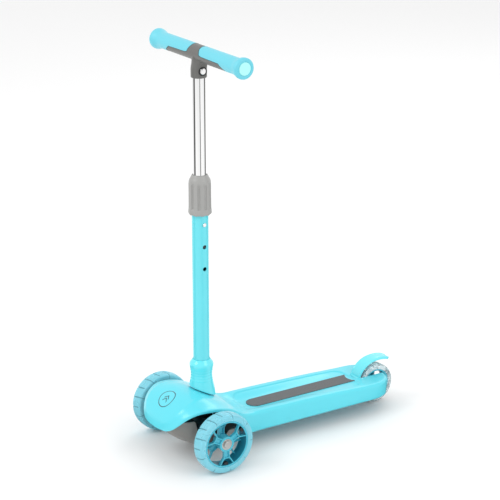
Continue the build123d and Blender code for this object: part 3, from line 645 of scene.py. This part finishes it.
front_cast = cast_tyre("front_cast", (0.27, 0.76, 0.90), 0.25, 0.28)
rear_cast = cast_tyre("rear_cast", (0.80, 0.92, 0.95), 0.72, 0.12)
core_plastic = finish_of("core_plastic", (0.065, 0.50, 0.64), 0.26, grain=(1200.0, 0.08),
                         coat_weight=0.2)
# Painted shade: the core's plastic, darkened, for the inner barrel that lies in shade inside the
# rim.
barrel_shaded_plastic = finish_of("barrel_shaded_plastic", (0.012, 0.20, 0.29), 0.30, grain=(1200.0, 0.08))
bearing_steel = finish_of("bearing_steel", (0.62, 0.61, 0.58), 0.28, grain=(2200.0, 0.08),
                          metallic=1.0)


def turned(profile, x, y, z, count, ripple=None):
    """Surface of revolution about X: profile rows of (offset along X, radius); ripple(angle, row)
    adds to the radius."""
    profile = np.array(profile, float)
    angle = all_round(count)
    radius = np.repeat(profile[:, 1:2], count, 1)
    if ripple is not None:
        radius = radius + ripple(angle, profile)
    return np.stack([np.repeat(x + profile[:, :1], count, 1), y + radius * np.cos(angle),
                     z + radius * np.sin(angle)], -1)


def tyre_profile(r, width, depth):
    """Closed tyre section over t from -90 to 90 degrees: x = (w/2) sin(t)^0.62, and the tread falls
    from r as 0.6 depth (1 - cos(t)^0.55); the bore is flat."""
    half = width / 2
    t = np.linspace(-math.pi / 2, math.pi / 2, 41)
    x = half * np.sign(np.sin(t)) * np.abs(np.sin(t)) ** 0.62
    crown = r - depth * 0.60 * (1 - np.abs(np.cos(t)) ** 0.55)
    outer = np.stack([x, crown], -1)
    bore = [(half, r - depth * 0.86), (half - 1.4, r - depth + 0.1),
            (1 - half + 0.4, r - depth + 0.1), (-half, r - depth * 0.86), outer[0]]
    return np.vstack([outer, bore])


def groove_share(angle, share, radius, count, r):
    """How deep a groove is here, 0 to 1: exp(-(arc / half)^4) at count places, slanted across the
    tread and fading past the shoulders; grooves stop short of one edge, left and right in turn."""
    skew = angle + 0.05 * share
    pitch = 2 * math.pi / count
    turn_index = np.round(skew / pitch)
    arc_mm = (skew - turn_index * pitch) * r
    side = np.where(turn_index % 2 > 0, share, -share)
    fade = step(radius, r * 0.86, r * 0.93) * (1 - step(side, 0.55, 0.8))
    return np.exp(-(arc_mm / groove_half) ** 4) * fade


def tread_cuts(count, r, width):
    """Groove depth below the profile, as a ripple for turned()."""
    def ripple(angle, profile):
        share = profile[:, :1] / (width / 2)
        return -groove_depth * groove_share(angle[None, :], share, profile[:, 1:2], count, r)
    return ripple


def shade_grooves(tyre, x, y, z, r, width, count):
    """Point attribute: 0 at the bottom of a groove, 1 elsewhere; the tyre's colour is multiplied by
    it as painted shade in the grooves.
    """
    place = np.array([v.co for v in tyre.data.vertices]) / MM - [0, axle_y / MM, 0]
    radius = np.hypot(place[:, 1] - y, place[:, 2] - z)
    angle = np.arctan2(place[:, 2] - z, place[:, 1] - y) % (2 * math.pi)
    share = (place[:, 0] - x) / (width / 2)
    value = 1 - groove_share(angle, share, np.maximum(radius + groove_depth, 0), count, r)
    layer = tyre.data.color_attributes.new("groove_painted_shade_mask", "FLOAT_COLOR", "POINT")
    layer.data.foreach_set("color", np.stack([value, value, value, 0 * value + 1], -1).ravel())


def closed_at_start(tube):
    """The tube's rows after one drawn to a point, which closes its first end; the last is open."""
    tip = np.repeat(tube[:1].mean(1, keepdims=True), tube.shape[1], 1)
    return np.concatenate([tip, tube], 0)


def rib(path, x0, x1, half_thick):
    """Thin rib in the wheel's plane: a path of (radial, sideways) points with a rounded rectangle
    section, half_thick each side, from x0 to x1 along the axle, closed at its first end."""
    path = np.array(path, float)
    side = left_of(path)
    ease = 0.45 * half_thick
    corners = [(-half_thick, x0 + ease), (-half_thick + ease, x0), (half_thick - ease, x0),
               (half_thick, x0 + ease), (half_thick, x1 - ease), (half_thick - ease, x1),
               (-half_thick + ease, x1), (-half_thick, x1 - ease)]
    columns = [np.column_stack([np.full(len(path), x), path + side * s]) for s, x in corners]
    return closed_at_start(np.stack(columns, 1))


def spoke_set(x, y, z, hub_r, rim_r, near, far, phase):
    """Three Y spokes: twin straight ribs out of the hub that part at the fork and curve to the rim,
    with a thin web and two rungs between them."""
    fork = hub_r + 0.46 * (rim_r - hub_r)
    gap, rib_half = 0.115 * rim_r, 1.05
    pieces = []
    for side in (-1, 1):
        flare = [(hub_r - 1, side * gap), ((hub_r + fork) / 2, side * gap),
                 (fork - 1.5, side * gap * 1.1), (fork + 2.5, side * (gap + 3.2)),
                 ((fork + rim_r) / 2 + 1, side * (gap + 7.4)), (rim_r - 1.5, side * (gap + 10.6))]
        pieces.append(rib(spaced_curve(flare, 26), near, far, rib_half))
    across = [(fork + 0.4, -gap - 1), (fork - 0.6, 0), (fork + 0.4, gap + 1)]
    pieces.append(rib(spaced_curve(across, 9), near, far, rib_half))
    middle = (hub_r + fork) / 2
    pieces.append(rib([(middle, -gap), (middle, 0), (middle, gap)],
                      near, far * 0.55 + near * 0.45, 0.9))
    web_mid, web_half = (near + far) / 2, 0.8
    pieces.append(rib([(hub_r - 1, 0), (middle, 0), (fork, 0)],
                      web_mid - web_half, web_mid + web_half, gap))
    turned_pieces = []
    for k in range(3):
        a = phase + 2 * math.pi * k / 3
        spin = np.array([[1, 0, 0], [0, math.cos(a), math.sin(a)], [0, -math.sin(a), math.cos(a)]])
        turned_pieces += [p @ spin + [x, y, z] for p in pieces]
    return turned_pieces


def mirrored(half):
    """Closed profile from its half on the +X side, listed from the outer skin round to the bore."""
    return half + [(-x, r) for x, r in half[::-1]] + half[:1]


def make_wheel(hand, body, x, y, z, r, width, depth, cast, groove_count):
    """One wheel: tyre with cross grooves; core of rim, hub, an outer and an inner spoke set."""
    half, rim_r = width / 2, r - depth
    tyre = make_piece(f"{hand}_cast_tyre",
                      [turned(tyre_profile(r, width, depth), x, y, z, 720,
                              tread_cuts(groove_count, r, width))],
                      cast, body, smooth=45)
    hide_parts(f"{hand}_tyre")
    shade_grooves(tyre, x, y, z, r, width, groove_count)
    inner_r, edge = rim_r - 3.2, half - 1.0
    rim_profile = mirrored([(edge - 0.5, rim_r), (edge, rim_r - 0.5), (edge, inner_r + 0.9),
                            (edge - 0.9, inner_r), (edge - 2.2, inner_r),
                            (edge - 2.2, inner_r + 0.8)])
    barrel_profile = mirrored([(edge - 2.3, inner_r + 0.7), (edge - 2.6, inner_r + 0.2),
                               (edge - 5, inner_r - 0.1), (0, inner_r - 0.5)])
    make_piece(f"{hand}_barrel", [turned(barrel_profile, x, y, z, 180)], barrel_shaded_plastic, body,
               smooth=35)
    hub_r, bore, face = 15.6, 11.05, half - 1.2
    hub_profile = mirrored([(face - 1, hub_r), (face, hub_r - 1), (face, bore + 0.9),
                            (face - 0.8, bore), (face - 8.3, bore), (face - 8.3, bore - 2.2)])
    grids = [turned(rim_profile, x, y, z, 180), turned(hub_profile, x, y, z, 120)]
    core = make_piece(f"{hand}_core_rings", grids, core_plastic, body, smooth=35)
    outer = 1 if x >= 0 else -1
    sets = []
    for sign, phase in ((outer, 0), (-outer, math.pi)):
        ends = sorted((sign * (half - 2.2), sign * (half - 9.5)))
        sets += spoke_set(x, y, z, hub_r, inner_r + 1.2, *ends, phase - math.pi / 2)
    make_piece(f"{hand}_core_spokes", sets, core_plastic, body)
    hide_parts(f"{hand}_wheel_core")


front_r, front_width, front_depth = 60.0, 30.0, 13.0
rear_r, rear_width, rear_depth = 42.0, 26.0, 11.0
track_half, wheelbase = 118.5, 442.0
hands = ((1, "left"), (-1, "right"))
for sign, hand in hands:
    make_wheel(hand, f"{hand}_wheel", sign * track_half, 0, front_r, front_r, front_width,
               front_depth, front_cast, 18)
make_wheel("rear", "rear_wheel", 0, wheelbase, rear_r, rear_r, rear_width, rear_depth, rear_cast,
           14)
race_profile = [(0, 10.95), (-7, 10.95), (-7, 4.05), (0, 4.05), (0, 5.6), (-0.5, 6.0), (-0.5, 7.2),
                (-0.25, 7.5), (-0.25, 8.8), (-0.5, 9.0), (-0.5, 9.3), (0, 9.6), (0, 10.95)]


def bearing_pair(hand, body, x, y, z, width):
    """Two 8 x 22 x 7 ball bearings: outer race, sunk shield with a pressed step, inner race."""
    grids = []
    for sign in (-1, 1):
        end = sign * (width / 2 - 2)
        grids.append(turned([(end + sign * px, r) for px, r in race_profile], x, y, z, 96))
    piece = make_piece(f"{hand}_shielded_bearings", grids, bearing_steel, body, smooth=25)
    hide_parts(f"{hand}_bearings")


for sign, hand in hands:
    bearing_pair(hand, f"{hand}_wheel", sign * track_half, 0, front_r, front_width)
bearing_pair("rear", "rear_wheel", 0, wheelbase, rear_r, rear_width)


def hexagon(angle, profile):
    """Ripple that turns the socket's round wall, 0.5 to 3 mm in radius, into a hexagon."""
    inside = (profile[:, 1:2] < 3.0) & (profile[:, 1:2] > 0.5)
    hex_r = 2.6 / np.cos((angle % (math.pi / 3)) - math.pi / 6)
    return np.where(inside, hex_r[None, :] - profile[:, 1:2], 0)


# Button-head bolt ends: a domed rim round a hexagonal socket.
head_base = front_width / 2 - 1.6
head_profile = [(0, 0), (0, 7.2), (1.4, 7.4), (2.6, 6.8), (3.6, 5.4), (4.0, 3.6), (4.0, 2.9),
                (1.4, 2.9), (1.2, 0)]
for sign, hand in hands:
    profile = [(sign * (head_base + px), r) for px, r in head_profile]
    make_piece(f"{hand}_bolt_head", [turned(profile, sign * track_half, 0, front_r, 96, hexagon)],
               bearing_steel, f"{hand}_knuckle", smooth=30)

# -----------------------------------------------------------------------------
# Stem boot: soft glossy cyan plastic round the foot of the steering tube. Bulged top, ribbed waist,
# flared foot cut to the slope of the hood.
boot_plastic = finish_of("boot_plastic", (0.13, 0.77, 0.86), 0.17, grain=(1400.0, 0.04),
                         coat_weight=0.6)
boot_line = [(112, 27.2), (119, 26.6), (126, 25.8), (133, 24.4), (141, 22.7), (149, 21.4),
             (156, 21.0), (162, 21.4), (168, 22.4), (173, 23.3), (177, 23.6), (180.5, 22.4),
             (184, 20.0), (187, 18.0), (188.2, 17.3)]
tube_r, boot_top, foot_r, foot_length = 16.0, 188.2, 26.4, 46


def on_column(radius, angle, z):
    """Points round the column's axis at each radius, angle and height."""
    return np.stack([radius * np.cos(angle), column_y + radius * np.sin(angle), z + 0 * angle], -1)


def foot_plane(radius, angle):
    """Height of the foot's sloped plane: middle - slope (y - column)."""
    slope = (socket_front - socket_rear) / foot_length
    return (socket_front + socket_rear) / 2 - slope * radius * np.sin(angle)


def socket_boot():
    """Turned about the column: radius(z) with four 0.4 mm ribs at the waist and a rolled lowest
    edge, which lies in the foot plane; the bore closes the wall."""
    angle = all_round(144)
    foot_z = foot_plane(foot_r, angle)
    z = foot_z + (boot_top - foot_z) * np.linspace(0, 1, 90)[:, None]
    radius = through(z, boot_line)
    for rib_z in (146, 152, 158, 164):
        radius = radius + 0.4 * np.exp(-((z - rib_z) / 0.9) ** 2)
    radius = radius - 1.2 * (1 - np.minimum((z - foot_z) / 1.4, 1)) ** 2
    outer = on_column(radius, angle, z)
    closing = [on_column(tube_r + 0.6, angle, boot_top), on_column(tube_r + 0.1, angle, 187.6)]
    closing += [on_column(r, angle, foot_plane(r, angle)) for r in (tube_r + 0.1, foot_r - 2.0)]
    return np.concatenate([outer, np.array(closing), outer[:1]], 0)


boot = make_piece("socket_boot", [socket_boot()], boot_plastic, None)
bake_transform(boot)
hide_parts("stem_socket")

# -----------------------------------------------------------------------------
# Steering tubes: the lower one is powder-coated cyan steel with three height holes, the inner one
# is chromed steel.
tube_paint = finish_of("tube_paint", (0.125, 0.70, 0.79), 0.25, grain=(2600.0, 0.06),
                       coat_weight=0.35)
chrome = finish_of("chrome_plate", (0.86, 0.86, 0.86), 0.05, grain=(300.0, 0.01), variation=0.02,
                   spread=0.03, metallic=1.0)


def dress(material, *names):
    """Give CAD nodes this material."""
    for name in names:
        data = nodes[name].data
        data.materials.clear()
        data.materials.append(material)


dress(tube_paint, "lower_tube")
dress(chrome, "inner_tube", "height_button", "tbar_button")

# -----------------------------------------------------------------------------
# Twist collar: grey moulded nut over the top of the lower tube, with finger flutes between a
# conical shoulder and a scalloped foot.
collar_plastic = finish_of("collar_plastic", (0.35, 0.35, 0.34), 0.34, grain=(900.0, 0.2),
                           variation=0.08)


collar_low, collar_top, flutes, flute_depth = 484, 561, 10, 2.1
collar_line = [(collar_low, 21.2), (486, 22.3), (489, 22.5), (494, 21.9), (500, 21.6), (530, 21.4),
               (545, 21.3), (549, 20.9), (552, 19.9), (556, 17.6), (559.5, 15.9),
               (collar_top, 14.9)]
collar_bore = [(13.6, 561.0), (13.05, 560.4), (13.05, 551.0), (16.35, 550.0), (16.35, 487.0),
               (19.6, 485.6)]


def fluted_collar():
    """Turned: radius(z) from the foot to the shoulder, less cos-shaped flutes, windowed in height,
    and a fine line at 549.5; the foot's lower edge is scalloped by 0.5 mm."""
    angle = all_round(360)
    z = np.linspace(collar_low, collar_top, 150)[:, None]
    flute = np.clip(np.cos(flutes * angle) * 1.6 - 0.35, 0, 1) ** 0.8
    window = step(z, 493, 498) * (1 - step(z, 541, 548))
    radius = (through(z, collar_line) - flute_depth * flute * window
              - 0.25 * np.exp(-((z - 549.5) / 0.7) ** 2))
    height = z + 0.5 * np.cos(flutes * angle) * (1 - step(z, collar_low, 497))
    outer = on_column(radius, angle, height)
    closing = [on_column(r, angle, h) for r, h in collar_bore]
    return np.concatenate([outer, np.array(closing), outer[:1]], 0)


collar = make_piece("fluted_collar", [fluted_collar()], collar_plastic, "twist_collar")
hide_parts("twist_collar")

# -----------------------------------------------------------------------------
# Handlebar: a grey T piece slides over the inner tube and carries the bar. Two cyan rubber grips
# leave its middle free and run out over it, above a grey tongue, to a round end flange.
bar_y, bar_z, bar_half, grip_r = 26.5, 793.6, 155.6, 15.6
tee_plastic = finish_of("tee_plastic", (0.135, 0.135, 0.128), 0.36, grain=(900.0, 0.2),
                        variation=0.08)
cap_rubber = finish_of("cap_rubber", (0.42, 0.93, 0.92), 0.35, grain=(1000.0, 0.1))
grip_rubber = finish_of("grip_rubber", (0.15, 0.62, 0.74), 0.38, grain=(1000.0, 0.14),
                        variation=0.06)
stem_low, stem_r = 748.5, 15.25
tongue_height, tongue_x = -0.8, 103.0


def parting(angle):
    """Where grey meets cyan, as x over the angle round the bar: near the middle above the tongue's
    top edge, out at the tongue's slanted end below it."""
    height = grip_r * np.sin(angle)
    near = 15.5 + 5.0 * (1 - step(height, 2, 15)) + 9 * (1 - step(height, tongue_height, 3)) ** 2
    far = tongue_x - 14 * step(height, -12, tongue_height)
    return near + (far - near) * (1 - step(height, tongue_height - 0.6, tongue_height + 0.6))


def bar_angles():
    """Angles round the bar, denser where the tongue's edge lies."""
    cut = math.asin(tongue_height / grip_r)
    spots = [edge + np.linspace(-1, 1, 41) ** 3 * 0.35 for edge in (cut, math.pi - cut)]
    rest = all_round(120)
    return np.unique(np.round(np.concatenate(spots + [rest]) % (2 * math.pi), 6))


def on_bar(x, radius, angle):
    """Points on the bar at x and radius for each angle."""
    return np.stack([x + 0 * angle, bar_y + radius * np.cos(angle) + 0 * x,
                     bar_z + radius * np.sin(angle) + 0 * x], -1)


flange_profile = [(-5, 20.0), (-3, 19.7), (-1.4, 18.7), (-0.5, 17.2), (-0.2, 15.4), (-0.3, 14.0),
                  (-1.0, 13.3), (-1.2, 12.4)]
disc_profile = [(-1.4, 12.3), (-0.7, 12.1), (-0.25, 11.5), (-0.05, 10), (0, 6), (0, 2.5), (0, 0)]


def end_rings(sign, profile, angle):
    """Rings about the bar from (offset from its end, radius) pairs."""
    return [on_bar(sign * (bar_half + dx), r, angle) for dx, r in profile]


def grip_skin(sign):
    """Grip: rows from the parting line out to the flange. The radius rises from the parting's
    rolled edge, stays at grip_r, then flares; the last rows turn in to the end disc."""
    angle = bar_angles()
    start = parting(angle) + 0.25
    share = np.concatenate([[0, 0, 0.004, 0.012, 0.03], np.linspace(0.06, 1, 90)])[:, None]
    x = start + (bar_half - 7 - start) * share
    flare = (19.8 - grip_r) * step(x, bar_half - 30, bar_half - 6) ** 1.6
    rolled = np.array([3.6, 1.0, 0.35, 0.08, 0] + [0] * 90)[:, None]
    skin = on_bar(sign * x, grip_r + 0.2 + flare - rolled, angle)
    return np.concatenate([skin, end_rings(sign, flange_profile, angle)], 0)


for sign, hand in hands:
    grip = make_piece(f"{hand}_rubber_grip", [grip_skin(sign)], grip_rubber, "upper_column",
                      smooth=50)
    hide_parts(f"{hand}_grip")
    plug = np.array(end_rings(sign, disc_profile, bar_angles()))
    disc = make_piece(f"{hand}_end_disc", [plug], cap_rubber, "upper_column",
                      smooth=50)
    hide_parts(f"{hand}_bar_cap")


def bar_core():
    """Grey middle: a sleeve whose ends follow the parting line, rolled in under the grips."""
    angle = bar_angles()
    stop = parting(angle)
    ends = [(stop + 0.16, grip_r - 4), (stop + 0.12, grip_r - 0.7)]
    ends += [(stop * t, grip_r) for t in np.linspace(1, 0, 60, endpoint=False)]
    sleeve = [(-x, r) for x, r in ends] + [(0 * stop, grip_r)] + ends[::-1]
    return np.array([on_bar(x, r, angle) for x, r in sleeve])


def stem_boss():
    """Stem of the T: turned about the column, a rolled lower edge, and a fillet that spreads it
    along X into the bar by up to 6 mm; its axis shifts to the bar's in the same span."""
    angle = all_round(160)
    z = np.concatenate([[stem_low + 1.2, stem_low, stem_low, stem_low + 0.5, stem_low + 1.4],
                        np.linspace(stem_low + 3, bar_z - 3, 50)])[:, None]
    radius = np.concatenate([[12.8, 13.0, 14.0, 14.9, stem_r], np.full(50, stem_r)])[:, None]
    spreading = 6.0 * step(z, bar_z - 24, bar_z - 6) ** 2
    x = (radius + spreading * np.cos(angle) ** 2) * np.cos(angle)
    middle_y = column_y + (bar_y - column_y) * step(z, bar_z - 30, bar_z - 12)
    return np.stack([x, middle_y + radius * np.sin(angle), z + 0 * x], -1)


core = make_piece("tee_bar", [bar_core()], tee_plastic, "upper_column", smooth=50)
stem = make_piece("tee_stem", [stem_boss()], tee_plastic, "upper_column", smooth=50)
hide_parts("tbar_core")

# Painted shade: near-black finish for the ring round the T-bar button, standing for the shade in
# the stem's hole round it.
button_hole_shade = finish_of("button_hole_shade", (0.012, 0.012, 0.013), 0.6, grain=(900.0, 0.2))
# Painted shade: dark cyan finish for the strip in the grip's shut line, standing for the shade in
# that gap.
shut_line_shade = finish_of("shut_line_shade", (0.03, 0.075, 0.085), 0.6, grain=(900.0, 0.1))


def grip_seam(sign):
    """Narrow dark strip in the shut line between grip and grey bar, painted shade of the gap: the
    parting line moved half its width to both sides, square to it on the unrolled surface, with its
    edges sunk."""
    angle = bar_angles()
    along, round_way = parting(angle), angle * grip_r
    run_x = np.gradient(along, edge_order=2)
    run_a = np.gradient(round_way, edge_order=2)
    span = np.hypot(run_x, run_a)
    half, columns = 0.42, []
    for side, lift in ((-half, -0.4), (-half, 0.16), (half, 0.26), (half, -0.4)):
        x = along + side * run_a / span
        a = (round_way - side * run_x / span) / grip_r
        columns.append(on_bar(sign * x, grip_r + lift, a))
    return np.stack(columns, 1)


for sign, hand in hands:
    make_piece(f"{hand}_grip_seam", [grip_seam(sign)], shut_line_shade, "upper_column",
               (True, True), 40)
# The ring round the T-bar button carries the painted shade of the hole it sits in.
button_z = 762.0
ring_profile = [(14.2, 6.6), (15.6, 6.7), (15.9, 7.2), (15.8, 8.2), (15.0, 8.6), (13.5, 8.6),
                (13.5, 6.6), (14.2, 6.6)]
make_piece("button_ring", [turned(ring_profile, 0, column_y, button_z, 72)], button_hole_shade,
           "upper_column")

# -----------------------------------------------------------------------------
# Rear brake: a sprung cyan plastic fender over the rear tyre, hinged on a pin in the slot. A long
# pad, crowned across, with rolled side lips and a lifted tail.
fender_line = [(397.5, 59.5), (398.6, 66), (402.5, 74.5), (409, 82.2), (419, 89.6), (432, 94.3),
               (449, 96), (463, 94.6), (471, 92.4), (477.5, 89.6)]
fender_half, fender_thick = 14.4, 4.4


def fender_pad():
    """Rows along the line, columns round a flat section: half-width sqrt(1 - t^2) towards the tip,
    top crowned 0.7 mm with side lips 1.1 mm proud; the hinge end is closed, the tail end open."""
    line = spaced_curve(fender_line, 110)
    normal = left_of(line)
    share = np.linspace(0, 1, 110)[:, None]
    half = fender_half * np.sqrt(np.clip(1 - np.clip((share - 0.88) / 0.125, 0, 1) ** 2, 0.05, 1))
    half = half * (1 - 0.10 * np.clip((0.06 - share) / 0.06, 0, 1) ** 2)
    ends = np.clip(np.minimum(share / 0.012, (1 - share) / 0.016), 0.12, 1)
    half_thick = fender_thick * ends ** 0.5 / 2
    top, under = np.linspace(-1, 1, 33), np.linspace(1, -1, 17)
    lip = (1.1 * np.exp(-((np.abs(top) - 0.88) / 0.085) ** 2)
           - 1.5 * np.clip((np.abs(top) - 0.93) / 0.07, 0, 1) ** 2)
    rise = (0.7 * (1 - top**2) + lip) * step(share, 0.02, 0.10)
    sink = 0.9 * np.clip((np.abs(under) - 0.9) / 0.1, 0, 1) ** 2
    off = np.concatenate([half_thick + rise, sink - half_thick], 1)
    return closed_at_start(np.stack([half * np.concatenate([top, under]),
                                     line[:, :1] + normal[:, :1] * off,
                                     line[:, 1:] + normal[:, 1:] * off], -1))


brake_pin_y, brake_pin_z = 397.0, 61.0
fender_plastic = finish_of("fender_plastic", (0.15, 0.79, 0.88), 0.24, grain=(1400.0, 0.05),
                           coat_weight=0.4)
fender = make_piece("fender_pad", [fender_pad()], fender_plastic, "brake",
                    smooth=45)
barrel_profile = mirrored([(fender_half - 0.6, 4.7), (fender_half, 4.0), (fender_half, 2.9)])
make_piece("fender_barrel", [turned(barrel_profile, 0, brake_pin_y, brake_pin_z, 64)],
           fender_plastic, "brake")
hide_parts("brake_fender")

# -----------------------------------------------------------------------------
# Hardware that shows only from below and between parts: painted steering castings, zinc-plated
# bolts, spring wire and small nylon mouldings.
cast_paint = finish_of("cast_paint", (0.022, 0.023, 0.025), 0.45, grain=(700.0, 0.25),
                       variation=0.25)
zinc = finish_of("zinc", (0.55, 0.55, 0.54), 0.32, grain=(1800.0, 0.10), variation=0.15,
                 metallic=1.0)
spring_wire = finish_of("spring_wire", (0.42, 0.42, 0.43), 0.35, grain=(2600.0, 0.15), metallic=1.0)
nylon = finish_of("nylon", (0.03, 0.03, 0.032), 0.5, grain=(1500.0, 0.10))
dress(cast_paint, "front_beam", "left_knuckle", "right_knuckle", "tie_rod", "lean_block")
dress(zinc, "beam_screws", "housing_screws", "lean_pivot_bolt", "rear_axle", "brake_pin",
      "stem_bolt", "rear_bearing_spacer",
      *(f"{hand}_{part}" for _, hand in hands
        for part in ("kingpin", "axle_bolt", "axle_spacer", "bearing_spacer")))
dress(spring_wire, "left_lean_spring", "right_lean_spring", "brake_spring", "tbar_clip",
      "height_clip")
dress(nylon, "left_light_modules", "right_light_modules", "guide_plug", "tube_bushing",
      "rear_axle_spacers")
